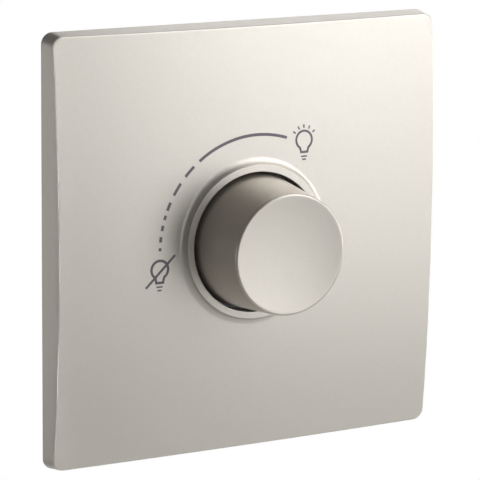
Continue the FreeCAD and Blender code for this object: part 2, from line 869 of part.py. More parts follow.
save("cover_plate", make_cover_plate())
save("support_frame", make_support_frame())
save("heat_sink_plate", make_heat_sink())
save("rear_housing", make_rear_housing())
save("housing_screws", *make_housing_screws())
save("terminal_block", make_terminal_block())
for name, place in zip(("load", "line", "loop"), terminal_places()):
    save(name + "_terminal_clamp", make_clamp(place))
    save(name + "_terminal_screw", make_terminal_screw(place))
save("potentiometer_bushing", make_bushing())
save("potentiometer_body", make_pot_body())
save("potentiometer_switch_can", rod(pot_can_radius, pot_body_back, pot_can_back))
save("potentiometer_pins", *make_pot_pins())
save("potentiometer_shaft", make_shaft())
save("bushing_washer", make_washer())
save("bushing_nut", make_nut())
save("knob", make_knob())
save("knob_spring_ring", make_knob_spring())
save("circuit_board", make_board())
save("triac_pad", make_triac_pad())
save("triac_body", make_triac_body())
save("triac_tab", make_triac_tab())
save("triac_leads", *make_triac_leads())
save("triac_screw", make_triac_screw())
save("choke_core", make_choke_core())
save("choke_winding", make_choke_winding())
save("filter_capacitor", boxed_capacitor(filter_z, filter_width, filter_height, filter_depth))
save("timing_capacitor", boxed_capacitor(timing_z, timing_width, timing_height, timing_depth))
save("fuse", make_fuse())
save("fuse_clips", *make_fuse_clips())
save("resistors", *[axial_part(resistor_radius, resistor_length, row) for row in range(3)])
save("resistor_leads", *[lead for row in range(3) for lead in axial_leads(resistor_length, row)])
save("diac", axial_part(diac_radius, diac_length, 3))
save("diac_leads", *axial_leads(diac_length, 3))
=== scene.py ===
import math

import bmesh
import bpy
from mathutils import Matrix, Vector


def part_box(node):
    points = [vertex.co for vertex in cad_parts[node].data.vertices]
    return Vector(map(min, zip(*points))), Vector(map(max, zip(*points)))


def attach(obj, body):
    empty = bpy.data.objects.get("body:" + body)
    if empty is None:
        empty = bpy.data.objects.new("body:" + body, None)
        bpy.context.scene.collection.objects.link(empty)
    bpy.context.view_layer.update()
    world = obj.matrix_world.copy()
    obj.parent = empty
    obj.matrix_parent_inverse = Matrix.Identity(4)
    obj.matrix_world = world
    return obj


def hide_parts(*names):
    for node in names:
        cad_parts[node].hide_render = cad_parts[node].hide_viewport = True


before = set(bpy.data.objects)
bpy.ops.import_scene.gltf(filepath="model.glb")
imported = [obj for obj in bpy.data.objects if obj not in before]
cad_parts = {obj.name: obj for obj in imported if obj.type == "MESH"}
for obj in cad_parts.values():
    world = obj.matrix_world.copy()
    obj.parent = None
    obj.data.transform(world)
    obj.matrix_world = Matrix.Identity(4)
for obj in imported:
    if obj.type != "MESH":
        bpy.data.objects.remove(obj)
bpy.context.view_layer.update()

# The rotary dimmer as it is put together, from the front to the back.
# Metres. X is to the right seen from the front, Z is up, and Y runs into the wall.

# Cover plate
# One square moulding in polycarbonate with a face crowned both ways and a collar round the knob.
# It is sprayed with a warm pearl paint, and snaps on the frame behind it.
mm = 0.001
plate_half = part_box("cover_plate")[1].x
plate_corner = 2.3 * mm
plate_draft = math.tan(math.radians(7.0))
corner_depth = 3.6 * mm
crown_up = 2.33 * mm
crown_across = 1.02 * mm
face_wall = 1.8 * mm
rim_wall = 1.6 * mm
edge_round = 0.35 * mm
ring_front = 8.0 * mm
ring_bore = 14.07 * mm
ring_outer = 15.47 * mm
ring_bevel = 0.1 * mm
ring_fall = 0.09 * mm
edge_strip = 0.04 * mm
flank_slope = 0.24
flank_fillet = 1.35 * mm
sleeve_back = -3.8 * mm
side_steps = 64
corner_steps = 10
flank_steps = 10
face_rows = 36
round_rows = 5
inside_rows = 14


def crown_depth(x, z):
    """How far the crowned face stands off the wall."""
    up = 1 - (z / plate_half) ** 2
    across = 1 - (x / plate_half) ** 2
    return corner_depth + crown_up * up + crown_across * across


def square_loop(inset):
    """Points round a square with round corners, inset from the plate's back edge."""
    half = plate_half - inset
    radius = max(plate_corner - inset, plate_corner / 4)
    flat = half - radius
    points = []
    for quarter in range(4):
        turn = Matrix.Rotation(-math.pi / 2 * quarter, 2)
        for step in range(side_steps):
            points.append(turn @ Vector((-flat + 2 * flat * step / side_steps, half)))
        for step in range(corner_steps):
            angle = math.pi / 2 * (1 - step / corner_steps)
            corner = Vector((math.cos(angle), math.sin(angle))) * radius
            points.append(turn @ (Vector((flat, flat)) + corner))
    return points


def drafted_loop(inset, lift):
    """Points round the drafted side where it meets the crown sunk by lift, found in a few rounds."""
    loop = []
    for back in square_loop(inset):
        point = back
        for _ in range(4):
            depth = crown_depth(point.x, point.y) - lift
            share = 1 - plate_draft * depth / plate_half
            point = back * share
        loop.append(Vector((point.x, -depth, point.y)))
    return loop


def ring_loop(rays, radius, y):
    """Points on the rays at one radius and depth."""
    return [Vector((ray.x * radius, y, ray.y * radius)) for ray in rays]


def between(first, last, share):
    """A loop part of the way from one loop to another."""
    return [a.lerp(b, share) for a, b in zip(first, last)]


def crowned(loop, lift):
    """The loop dropped on the crowned face sunk by lift."""
    return [Vector((p.x, lift - crown_depth(p.x, p.z), p.z)) for p in loop]


def flank_loops(rays):
    """The collar's flank: a cone that runs out into the crown in a rolling fillet."""
    lean = math.atan(1 / flank_slope)
    reach = flank_fillet * math.tan(lean / 2)
    loops = []
    for step in range(flank_steps + 1):
        angle = lean * (1 - step / flank_steps)
        loop = []
        for ray in rays:
            foot = ring_outer
            for _ in range(6):
                foot = ring_outer + flank_slope * (ring_front - crown_depth(ray.x * foot, ray.y * foot))
            radius = foot + reach - flank_fillet * math.sin(angle)
            lift = flank_fillet * (1 - math.cos(angle))
            x, z = ray.x * radius, ray.y * radius
            loop.append(Vector((x, -crown_depth(x, z) - lift, z)))
        loops.append(loop)
    return loops


def closed_stack(name, loops, joined):
    """A mesh through closed loops, the last one joined to the first or with both ends on the axis."""
    mesh = bpy.data.meshes.new(name)
    count = len(loops[0])
    faces = []
    rows = len(loops) if joined else len(loops) - 1
    for row in range(rows):
        here = row * count
        there = (row + 1) % len(loops) * count
        for k in range(count):
            after = (k + 1) % count
            faces.append((here + k, here + after, there + after, there + k))
    mesh.from_pydata([point for loop in loops for point in loop], [], faces)
    return mesh


def as_piece(name, mesh, sharp_deg=35.0):
    """A smooth-shaded object with its faces turned outwards."""
    shell = bmesh.new()
    shell.from_mesh(mesh)
    bmesh.ops.remove_doubles(shell, verts=shell.verts, dist=1e-7)
    bmesh.ops.recalc_face_normals(shell, faces=shell.faces)
    shell.to_mesh(mesh)
    shell.free()
    for face in mesh.polygons:
        face.use_smooth = True
    mesh.set_sharp_from_angle(angle=math.radians(sharp_deg))
    piece = bpy.data.objects.new(name, mesh)
    bpy.context.scene.collection.objects.link(piece)
    return piece


def block_between(shape, outline, run, edge):
    """A solid drawn from a flat outline along a run, with its edges broken."""
    near_side = [shape.verts.new(point) for point in outline]
    far_side = [shape.verts.new(Vector(point) + run) for point in outline]
    faces = [shape.faces.new(near_side), shape.faces.new(far_side)]
    for k in range(len(outline)):
        after = (k + 1) % len(outline)
        faces.append(shape.faces.new((near_side[k], near_side[after], far_side[after], far_side[k])))
    bmesh.ops.recalc_face_normals(shape, faces=faces)
    edges = list({line for face in faces for line in face.edges})
    bmesh.ops.bevel(shape, geom=edges, offset=edge, segments=2, profile=0.5, affect="EDGES")


def finished(name, shape):
    """The shape as a piece of its own."""
    mesh = bpy.data.meshes.new(name)
    shape.to_mesh(mesh)
    shape.free()
    return as_piece(name, mesh)


def gathered_rows(count):
    """Shares from 0 to 1, closer together at both ends."""
    return [0.5 - 0.5 * math.cos(math.pi * (k + 1) / count) for k in range(count)]


front_outline = drafted_loop(0.0, 0.0)
rays = [Vector((p.x, p.z)).normalized() for p in front_outline]
plate_loops = [
    ring_loop(rays, ring_bore, sleeve_back),
    ring_loop(rays, ring_bore, -ring_front + ring_bevel + edge_strip),
    ring_loop(rays, ring_bore, -ring_front + ring_bevel),
    ring_loop(rays, ring_bore + 0.3 * ring_bevel, -ring_front + 0.3 * ring_bevel),
    ring_loop(rays, ring_bore + ring_bevel, -ring_front),
    ring_loop(rays, ring_bore + ring_bevel + edge_strip, -ring_front),
    ring_loop(rays, ring_outer - ring_bevel - edge_strip, -ring_front + ring_fall),
    ring_loop(rays, ring_outer - ring_bevel, -ring_front + ring_fall),
    ring_loop(rays, ring_outer - 0.35 * ring_bevel, -ring_front + ring_fall + 0.15 * ring_bevel),
    ring_loop(rays, ring_outer + ring_bevel * flank_slope, -ring_front + ring_fall + ring_bevel),
    ring_loop(rays, ring_outer + (ring_bevel + edge_strip) * flank_slope,
              -ring_front + ring_fall + ring_bevel + edge_strip),
]
flank = flank_loops(rays)
plate_loops += flank
edge_start = drafted_loop(edge_round, 0.0)
for share in gathered_rows(face_rows):
    plate_loops.append(crowned(between(flank[-1], edge_start, share), 0.0))
for step in range(1, round_rows + 1):
    angle = math.pi / 2 * step / round_rows
    loop = []
    for inner, outer in zip(edge_start, front_outline):
        side = Vector((outer.x - inner.x, 0, outer.z - inner.z)) * math.sin(angle)
        drop = edge_round * (1 - math.cos(angle))
        loop.append(inner + side + Vector((0, drop, 0)))
    plate_loops.append(loop)
back_outline = [Vector((p.x, 0, p.y)) for p in square_loop(0.0)]
for share in (0.35, 0.7, 1.0):
    plate_loops.append(between(plate_loops[-1], back_outline, share))
inner_back = [Vector((p.x, 0, p.y)) for p in square_loop(rim_wall)]
inner_front = drafted_loop(rim_wall, face_wall)
plate_loops += [inner_back, inner_front]
sleeve_front = crowned(ring_loop(rays, ring_outer, 0), face_wall)
for share in gathered_rows(inside_rows):
    plate_loops.append(crowned(between(inner_front, sleeve_front, share), face_wall))
plate_loops.append(ring_loop(rays, ring_outer, sleeve_back))
cover_plate = as_piece("cover_plate_shell", closed_stack("cover_plate_shell", plate_loops, True))

plate_parts = bmesh.new()
rib_count = 8
rib_inner, rib_outer = 14.77 * mm, 29.0 * mm
rib_back = -3.75 * mm
rib_thickness = 1.2 * mm
rib_edge = 0.12 * mm
for index in range(rib_count):
    turn = Matrix.Rotation(2 * math.pi / rib_count * index, 3, "Y")
    outline = []
    for share in (0.0, 0.35, 0.7, 1.0):
        radius = rib_inner + (rib_outer - rib_inner) * share
        place = turn @ Vector((radius, 0, 0))
        rib_root = face_wall / 2 - crown_depth(place.x, place.z)
        outline.append(turn @ Vector((radius, rib_root, -rib_thickness / 2)))
    outline.append(turn @ Vector((rib_outer, rib_back, -rib_thickness / 2)))
    outline.append(turn @ Vector((rib_inner, rib_back, -rib_thickness / 2)))
    block_between(plate_parts, outline, turn @ Vector((0, 0, rib_thickness)), rib_edge)

hook_spread = 13.0 * mm
hook_width = 7.0 * mm
hook_inner, hook_outer, hook_nose = 29.8 * mm, 31.3 * mm, 32.2 * mm
hook_lead, hook_tip = 0.5 * mm, 2.0 * mm
hook_edge = 0.15 * mm
for side_x, side_z in ((1, 1), (-1, 1), (-1, -1), (1, -1)):
    low = side_x * hook_spread - hook_width / 2
    root = face_wall / 2 - crown_depth(hook_spread, hook_inner)
    profile = ((root, hook_inner), (root, hook_outer), (0, hook_outer), (0, hook_nose),
               (hook_lead, hook_nose), (hook_tip, hook_outer), (hook_tip, hook_inner))
    outline = [Vector((low, y, side_z * z)) for y, z in profile]
    block_between(plate_parts, outline, Vector((hook_width, 0, 0)), hook_edge)
ribs_and_hooks = finished("cover_plate_ribs_and_hooks", plate_parts)


def material(name):
    """A new node material with its shader and its object coordinates."""
    made = bpy.data.materials.new(name)
    made.use_nodes = True
    shader = made.node_tree.nodes["Principled BSDF"]
    place = made.node_tree.nodes.new("ShaderNodeTexCoord").outputs["Object"]
    return made, shader, place


def lead(value, node, socket):
    """Link a value into a node's socket."""
    node.id_data.links.new(value, node.inputs[socket])


def noise(made, place, per_metre, detail=2.0, roughness=0.5):
    """A noise value over the object, with so many features to a metre."""
    node = made.node_tree.nodes.new("ShaderNodeTexNoise")
    node.inputs["Scale"].default_value = per_metre
    node.inputs["Detail"].default_value = detail
    node.inputs["Roughness"].default_value = roughness
    lead(place, node, "Vector")
    return node.outputs["Fac"]


def spread(made, value, low, high, from_low=0.3, from_high=0.7):
    """The value mapped on a range for a socket."""
    node = made.node_tree.nodes.new("ShaderNodeMapRange")
    node.inputs["From Min"].default_value = from_low
    node.inputs["From Max"].default_value = from_high
    node.inputs["To Min"].default_value = low
    node.inputs["To Max"].default_value = high
    lead(value, node, "Value")
    return node.outputs["Result"]


def tint(made, value, colours):
    """A colour between two or more by a value."""
    node = made.node_tree.nodes.new("ShaderNodeValToRGB")
    ramp = node.color_ramp
    while len(ramp.elements) < len(colours):
        ramp.elements.new(0.5)
    for index, colour in enumerate(colours):
        ramp.elements[index].position = index / (len(colours) - 1)
        ramp.elements[index].color = (*colour, 1)
    lead(value, node, "Fac")
    return node.outputs["Color"]


def bump(made, shader, value, height, strength=1.0):
    """A relief of so many metres by a value."""
    node = made.node_tree.nodes.new("ShaderNodeBump")
    node.inputs["Strength"].default_value = strength
    node.inputs["Distance"].default_value = height
    lead(value, node, "Height")
    lead(node.outputs["Normal"], shader, "Normal")


def pearl_paint(name, dark, light):
    """Satin pearl paint: fine flakes in the colour, a faint spray texture and uneven gloss."""
    made, shader, place = material(name)
    flakes = spread(made, noise(made, place, 5200, 1.0), 0, 1)
    lead(tint(made, flakes, (dark, light)), shader, "Base Color")
    lead(spread(made, noise(made, place, 900, 3.0), 0.37, 0.43), shader, "Roughness")
    shader.inputs["Metallic"].default_value = 0.85
    shader.inputs["Coat Weight"].default_value = 0.4
    shader.inputs["Coat Roughness"].default_value = 0.3
    shader.inputs["Coat IOR"].default_value = 1.5
    bump(made, shader, noise(made, place, 2400, 2.0), 0.0012 * mm, 0.5)
    return made


plate_paint = pearl_paint("plate_pearl_paint", (0.622, 0.576, 0.52), (0.658, 0.614, 0.555))
for piece in (cover_plate, ribs_and_hooks):
    piece.data.materials.append(plate_paint)
    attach(piece, "base")
    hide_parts("cover_plate")

# Printed scale and lamp signs
# One thin layer of grey-violet ink, pad-printed on the crowned face before the plate is assembled.
# The scale's dashes grow from the crossed-out lamp to the lit one.
ink_rise = 0.012 * mm
ink_root = 0.05 * mm
ink_width = 0.6 * mm
scale_middle = (0.56 * mm, -0.31 * mm)
scale_radius = 21.47 * mm
dashes = ((71.7, 126.7), (130.7, 137.9), (142.1, 149.3), (153.3, 157.9), (160.5, 162.9),
          (165.9, 168.8), (171.9, 174.8), (177.8, 179.4))
cap_angles = (25, 50, 72, 86)


def print_stroke(shape, path, width, closed=False, round_ends=False):
    """A flat stroke of ink along (x, z) points on the crowned face."""
    points = [Vector(point) for point in path]
    count = len(points)
    stations = []
    for k, point in enumerate(points):
        before = points[k - 1] if closed or k else point
        after = points[(k + 1) % count] if closed or k < count - 1 else point
        first = (point - before).normalized() if before != point else (after - point).normalized()
        second = (after - point).normalized() if after != point else first
        along = (first + second).normalized()
        mitre = 1 / max(along.dot(first), 0.5)
        stations.append((point, Vector((-along.y, along.x)), width / 2 * mitre))
    if round_ends:
        for index, sign in ((0, -1), (-1, 1)):
            point, across, half = stations[index]
            along = Vector((across.y, -across.x))
            cap = []
            for angle in cap_angles:
                turn = math.radians(angle)
                cap.append((point + along * sign * half * math.sin(turn), across, half * math.cos(turn)))
            stations = cap[::-1] + stations if index == 0 else stations + cap
    rows = []
    for point, across, half in stations:
        row = []
        for side, rise in ((1, ink_rise), (-1, ink_rise), (-1, -ink_root), (1, -ink_root)):
            place = point + across * side * half
            row.append(shape.verts.new((place.x, -crown_depth(place.x, place.y) - rise, place.y)))
        rows.append(row)
    pairs = list(zip(rows, rows[1:])) + ([(rows[-1], rows[0])] if closed else [])
    for here, there in pairs:
        for k in range(4):
            after = (k + 1) % 4
            shape.faces.new((here[k], here[after], there[after], there[k]))
    if not closed:
        shape.faces.new(rows[0][::-1])
        shape.faces.new(rows[-1])


def arc(centre, radius, start, stop, steps):
    """Points on an arc, in degrees from the right towards the top."""
    angles = [math.radians(start + (stop - start) * k / steps) for k in range(steps + 1)]
    return [(centre[0] + radius * math.cos(a), centre[1] + radius * math.sin(a)) for a in angles]


ink = bmesh.new()
for start, stop in dashes:
    dash = arc(scale_middle, scale_radius, start, stop, max(3, round(stop - start)))
    print_stroke(ink, dash, ink_width)

bulb_radius = 1.8 * mm
bulb_start, bulb_stop = -57.7, 237.7
bulb_steps = 48
neck_half = 0.72 * mm
base_lengths = (1.37 * mm, 0.88 * mm)
base_stroke = 0.32 * mm


def lamp_sign(centre, base_x, drops, neck_drop, stroke):
    """A lamp's outline with the two lines of its base, by how far neck and lines lie below its centre."""
    bulb = arc(centre, bulb_radius, bulb_start, bulb_stop, bulb_steps)
    foot = centre[1] - neck_drop
    neck = [(centre[0] - neck_half, foot), (centre[0] + neck_half, foot)]
    print_stroke(ink, bulb + neck, stroke, closed=True)
    for drop, length in zip(drops, base_lengths):
        z = centre[1] - drop
        base_line = [(base_x - length / 2, z), (base_x, z), (base_x + length / 2, z)]
        print_stroke(ink, base_line, base_stroke)


lit_sign = (11.24 * mm, 19.34 * mm)
lamp_sign(lit_sign, base_x=11.19 * mm, drops=(3.28 * mm, 3.88 * mm), neck_drop=2.43 * mm, stroke=0.46 * mm)
beam_angles = (36, 63.8, 90.3, 116.6, 143.8)
beam_radii = (2.36 * mm, 2.7 * mm, 3.06 * mm)
beam_width = 0.34 * mm
for angle in beam_angles:
    outwards = Vector((math.cos(math.radians(angle)), math.sin(math.radians(angle))))
    beam = [Vector(lit_sign) + outwards * radius for radius in beam_radii]
    print_stroke(ink, beam, beam_width)
off_sign = (-20.93 * mm, -3.78 * mm)
lamp_sign(off_sign, base_x=-20.95 * mm, drops=(3.43 * mm, 4.12 * mm), neck_drop=2.6 * mm, stroke=0.52 * mm)
slash = ((-23.76 * mm, -7.14 * mm), (-20.78 * mm, -4.2 * mm), (-17.80 * mm, -1.27 * mm))
slash_width = 0.5 * mm
print_stroke(ink, slash, slash_width, round_ends=True)
printed_scale = finished("printed_scale", ink)

ink_finish, ink_shader, ink_place = material("grey_violet_ink")
ink_cover = noise(ink_finish, ink_place, 3000, 3.0)
ink_colour = tint(ink_finish, ink_cover, ((0.150, 0.130, 0.145), (0.185, 0.163, 0.180)))
lead(ink_colour, ink_shader, "Base Color")
ink_shader.inputs["Metallic"].default_value = 0.5
lead(spread(ink_finish, ink_cover, 0.42, 0.55), ink_shader, "Roughness")
bump(ink_finish, ink_shader, noise(ink_finish, ink_place, 6000), 0.001 * mm)
printed_scale.data.materials.append(ink_finish)
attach(printed_scale, "base")

# Knob
# A hollow tapered cap with a dished face, moulded in ABS and sprayed with the plate's pearl paint; its copy
# of the paint is darker and warmer, as painted shade.
# Its hub is pushed on the flattened shaft; six ribs hold the hub.
knob_front = -21.2 * mm
knob_skirt = -4.4 * mm
knob_at_ring = 13.33 * mm
knob_taper = 0.101
knob_rim = 0.45 * mm
dish_lean = math.radians(5.95)
cavity_radius = 10.44 * mm
cavity_front = -18.8 * mm
hub_radius = 4.55 * mm
seat_radius = 4.15 * mm
seat_front, seat_back = -13.4 * mm, -11.0 * mm
hub_back = -9.6 * mm
bore_radius = 3.03 * mm
bore_front, bore_step = -17.8 * mm, -10.4 * mm
bore_flat = 1.53 * mm
dish_rows = 26
rim_rows = 10
side_rows = 10
turn_steps = 144


def knob_side(y):
    """Radius of the knob's tapered side at a depth."""
    return knob_at_ring + (y + ring_front) * knob_taper


def turned_loops(profile):
    """Loops about the Y axis through (radius, y) points."""
    angles = [2 * math.pi * k / turn_steps for k in range(turn_steps)]
    about = [Vector((math.sin(angle), math.cos(angle))) for angle in angles]
    return [ring_loop(about, radius, y) for radius, y in profile]


rim_y = knob_front + knob_rim
rim_x = knob_side(rim_y) - knob_rim * math.sqrt(1 + knob_taper ** 2)
lip_radius = rim_x - knob_rim * math.sin(dish_lean)
lip_y = rim_y - knob_rim * math.cos(dish_lean)
dish_radius = lip_radius / math.sin(dish_lean)
dish_middle = lip_y - dish_radius * math.cos(dish_lean)
knob_profile = []
for row in range(dish_rows + 1):
    radius = lip_radius * row / dish_rows
    knob_profile.append((radius, dish_middle + math.sqrt(dish_radius ** 2 - radius ** 2)))
side_lean = math.atan(knob_taper)
for row in range(1, rim_rows + 1):
    angle = -dish_lean + (math.pi / 2 - side_lean + dish_lean) * row / rim_rows
    knob_profile.append((rim_x + knob_rim * math.sin(angle), rim_y - knob_rim * math.cos(angle)))
side_front = knob_profile[-1][1]
skirt_edge = 0.15 * mm
for row in range(1, side_rows + 1):
    y = side_front + (knob_skirt - skirt_edge - side_front) * row / side_rows
    knob_profile.append((knob_side(y), y))
knob_profile += [
    (knob_side(knob_skirt) - 0.3 * skirt_edge, knob_skirt - 0.3 * skirt_edge),
    (knob_side(knob_skirt) - skirt_edge, knob_skirt),
    (cavity_radius + skirt_edge, knob_skirt),
    (cavity_radius, knob_skirt - skirt_edge),
    (cavity_radius, cavity_front),
    (hub_radius, cavity_front),
    (hub_radius, seat_front),
    (seat_radius, seat_front),
    (seat_radius, seat_back),
    (hub_radius, seat_back),
    (hub_radius, hub_back - skirt_edge),
    (hub_radius - skirt_edge, hub_back),
    (bore_radius + skirt_edge, hub_back),
    (bore_radius, hub_back - skirt_edge),
    (bore_radius, bore_step),
]
knob_loops = turned_loops(knob_profile)
for radius, y in ((bore_radius, bore_step), (bore_radius, bore_front), (0, bore_front)):
    loop = turned_loops([(radius, y)])[0]
    knob_loops.append([Vector((p.x, p.y, min(p.z, bore_flat))) for p in loop])
knob_cap = as_piece("knob_cap", closed_stack("knob_cap", knob_loops, False), 40.0)

knob_parts = bmesh.new()
knob_rib_count = 6
knob_rib_inner, knob_rib_outer = 4.05 * mm, 10.9 * mm
knob_rib_front, knob_rib_back = -19.1 * mm, -13.8 * mm
knob_rib_thickness = 1.0 * mm
knob_rib_edge = 0.1 * mm
for index in range(knob_rib_count):
    turn = Matrix.Rotation(2 * math.pi / knob_rib_count * index, 3, "Y")
    profile = ((knob_rib_inner, knob_rib_front), (knob_rib_outer, knob_rib_front),
               (knob_rib_outer, knob_rib_back), (knob_rib_inner, knob_rib_back))
    outline = [turn @ Vector((radius, y, -knob_rib_thickness / 2)) for radius, y in profile]
    block_between(knob_parts, outline, turn @ Vector((0, 0, knob_rib_thickness)), knob_rib_edge)
knob_ribs = finished("knob_ribs", knob_parts)

# The same pearl paint as the plate, with darker and warmer colours: painted shade on the knob.
knob_paint_darkened_as_painted_shade = pearl_paint("knob_pearl_paint_darkened_as_painted_shade", (0.578, 0.53, 0.473), (0.612, 0.565, 0.507))
for piece in (knob_cap, knob_ribs):
    piece.data.materials.append(knob_paint_darkened_as_painted_shade)
    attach(piece, "knob_and_shaft")
    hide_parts("knob")

# Spring ring, shaft and potentiometer
# The shaft is turned aluminium, held in a die-cast zinc bushing with a threaded nose.
# Behind it are the brown track carrier, the tinned can of the switch and three tinned pins.


def dress(finish, *names):
    """Give CAD pieces their finish."""
    for name in names:
        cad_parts[name].material_slots[0].material = finish


def break_edges(width, *names):
    """Round the sharp edges of CAD pieces a little."""
    for name in names:
        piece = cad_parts[name]
        weld = piece.modifiers.new("weld", "WELD")
        weld.merge_threshold = 0.001 * mm
        flats = piece.modifiers.new("joined_flats", "DECIMATE")
        flats.decimate_type = "DISSOLVE"
        flats.angle_limit = math.radians(0.5)
        rounding = piece.modifiers.new("broken_edges", "BEVEL")
        rounding.width = width
        rounding.segments = 2
        rounding.limit_method = "ANGLE"
        rounding.angle_limit = math.radians(40)
        rounding.harden_normals = True
        weighed = piece.modifiers.new("flat_faces_stay_flat", "WEIGHTED_NORMAL")
        weighed.keep_sharp = True


def stretched(made, place, x, y, z):
    """The place measured with another scale along each axis."""
    node = made.node_tree.nodes.new("ShaderNodeMapping")
    node.vector_type = "POINT"
    node.inputs["Scale"].default_value = (x, y, z)
    lead(place, node, "Vector")
    return node.outputs["Vector"]


def worked_metal(name, dark, light, rough, lines, line_height, per_metre=900):
    """Metal with drawn or turned lines, a cloudy tone and uneven gloss."""
    made, shader, place = material(name)
    cloud = noise(made, place, 160, 4.0)
    lead(tint(made, cloud, (dark, light)), shader, "Base Color")
    shader.inputs["Metallic"].default_value = 1.0
    drawn = noise(made, stretched(made, place, *lines), per_metre, 3.0, 0.6)
    lead(spread(made, drawn, rough - 0.06, rough + 0.08), shader, "Roughness")
    bump(made, shader, drawn, line_height)
    return made


def moulding(name, dark, light, rough, grain, grain_height):
    """Moulded plastic: a fine spark-eroded grain, cloudy colour and uneven gloss."""
    made, shader, place = material(name)
    cloud = noise(made, place, 220, 5.0, 0.65)
    lead(tint(made, cloud, (dark, light)), shader, "Base Color")
    pits = noise(made, place, grain, 2.0)
    lead(spread(made, pits, rough - 0.05, rough + 0.08), shader, "Roughness")
    bump(made, shader, pits, grain_height)
    return made


spring_strip = worked_metal("blued_spring_strip", (0.30, 0.32, 0.37), (0.46, 0.48, 0.53), rough=0.28,
                            lines=(1, 0.08, 1), line_height=0.004 * mm)
turned_aluminium = worked_metal("turned_aluminium", (0.72, 0.73, 0.74), (0.84, 0.84, 0.85), rough=0.26,
                                lines=(0.05, 1.6, 0.05), line_height=0.004 * mm)
cast_zinc = worked_metal("cast_zinc", (0.42, 0.43, 0.45), (0.58, 0.59, 0.60), rough=0.42,
                         lines=(1, 1, 1), line_height=0.010 * mm, per_metre=500)
tinned_strip = worked_metal("tinned_strip", (0.66, 0.66, 0.65), (0.80, 0.80, 0.78), rough=0.24,
                            lines=(1, 1, 0.1), line_height=0.002 * mm)
brown_phenolic = moulding("brown_phenolic", (0.075, 0.038, 0.022), (0.13, 0.070, 0.040),
                          rough=0.38, grain=1800, grain_height=0.006 * mm)
dress(spring_strip, "knob_spring_ring")
dress(turned_aluminium, "potentiometer_shaft")
dress(cast_zinc, "potentiometer_bushing")
dress(tinned_strip, "potentiometer_switch_can", "potentiometer_pins")
dress(brown_phenolic, "potentiometer_body")
break_edges(0.12 * mm, "potentiometer_bushing", "potentiometer_switch_can")

# Nut, washer and screws
# Steel turned and pressed from rod and sheet, with a bright zinc plating that is faintly blue and yellow.
# The nut clamps the bushing on the heat sink; two countersunk screws clamp the heat sink and the frame.
zinc_plate = worked_metal("bright_zinc_plate", (0.60, 0.63, 0.68), (0.76, 0.75, 0.70), rough=0.25,
                          lines=(1, 0.3, 1), line_height=0.003 * mm)
dress(zinc_plate, "bushing_nut", "bushing_washer", "housing_screws")
break_edges(0.15 * mm, "bushing_nut")
break_edges(0.06 * mm, "bushing_washer", "housing_screws")

# Support frame
# A flat frame moulded in light grey nylon with short glass fibres, screwed to the wall box.
# The plate's hooks snap through its four windows.
frame_nylon, nylon_shader, nylon_place = material("glass_filled_nylon")
fibres = noise(frame_nylon, stretched(frame_nylon, nylon_place, 0.25, 1, 1), 1600, 4.0, 0.7)
swirl = noise(frame_nylon, nylon_place, 120, 5.0, 0.6)
nylon_colour = tint(frame_nylon, swirl, ((0.50, 0.50, 0.48), (0.60, 0.60, 0.575)))
lead(nylon_colour, nylon_shader, "Base Color")
lead(spread(frame_nylon, fibres, 0.42, 0.60), nylon_shader, "Roughness")
bump(frame_nylon, nylon_shader, fibres, 0.012 * mm)
dress(frame_nylon, "support_frame")
break_edges(0.2 * mm, "support_frame")

# Heat sink
# Aluminium sheet with a mill finish, pressed flat, with the rolling lines along it.
# It carries the potentiometer and the triac, and clamps the frame.
# The sheet's colour is set far darker than bare aluminium: painted shade, so that the gap round the knob
# reads dark.
sheet_darkened_as_painted_shade = worked_metal("mill_finish_sheet_darkened_as_painted_shade", (0.36, 0.37, 0.38), (0.46, 0.46, 0.47), rough=0.56,
                          lines=(0.04, 1, 1), line_height=0.006 * mm, per_metre=1400)
dress(sheet_darkened_as_painted_shade, "heat_sink_plate")
break_edges(0.12 * mm, "heat_sink_plate")

# Rear housing
# A deep square cup moulded in black flame-retardant plastic with a spark-eroded grain.
# It holds the board, and its corner bosses take the two screws.
black_moulding = moulding("black_grained_moulding", (0.010, 0.010, 0.011), (0.022, 0.022, 0.024),
                          rough=0.50, grain=2600, grain_height=0.016 * mm)
dress(black_moulding, "rear_housing")
break_edges(0.2 * mm, "rear_housing")

# Terminal block
# Light grey moulding with three funnelled wire entries; each holds a machined brass clamp.
# The clamps' slotted screws are steel with a plain zinc plating, turned from behind.
grey_moulding = moulding("light_grey_moulding", (0.42, 0.43, 0.42), (0.52, 0.53, 0.51),
                         rough=0.44, grain=2200, grain_height=0.008 * mm)
machined_brass = worked_metal("machined_brass", (0.62, 0.42, 0.14), (0.80, 0.60, 0.26), rough=0.26,
                              lines=(1, 0.1, 1), line_height=0.004 * mm)
screw_steel = worked_metal("plated_screw_steel", (0.55, 0.56, 0.57), (0.70, 0.71, 0.71), rough=0.28,
                           lines=(0.3, 1, 1), line_height=0.004 * mm)
clamps = ("line_terminal_clamp", "load_terminal_clamp", "loop_terminal_clamp")
clamp_screws = ("line_terminal_screw", "load_terminal_screw", "loop_terminal_screw")
dress(grey_moulding, "terminal_block")
dress(machined_brass, *clamps)
dress(screw_steel, *clamp_screws)
break_edges(0.15 * mm, "terminal_block")
break_edges(0.12 * mm, *clamp_screws)
break_edges(0.1 * mm, *clamps)

# Circuit board
# Glass-cloth laminate with green lacquer on both faces; its cut edges show the bare tan resin.
# Wide copper tracks lie under the lacquer and lift it a little.
laminate, laminate_shader, laminate_place = material("green_lacquered_laminate")


def value_of(made, kind, first, second=None):
    """A sum on one or two values."""
    node = made.node_tree.nodes.new("ShaderNodeMath")
    node.operation = kind
    for index, value in enumerate((first, second)):
        if isinstance(value, (int, float)):
            node.inputs[index].default_value = value
        elif value is not None:
            lead(value, node, index)
    return node.outputs[0]


def axes_of(made, vector):
    """The three values of a vector."""
    node = made.node_tree.nodes.new("ShaderNodeSeparateXYZ")
    lead(vector, node, "Vector")
    return node.outputs


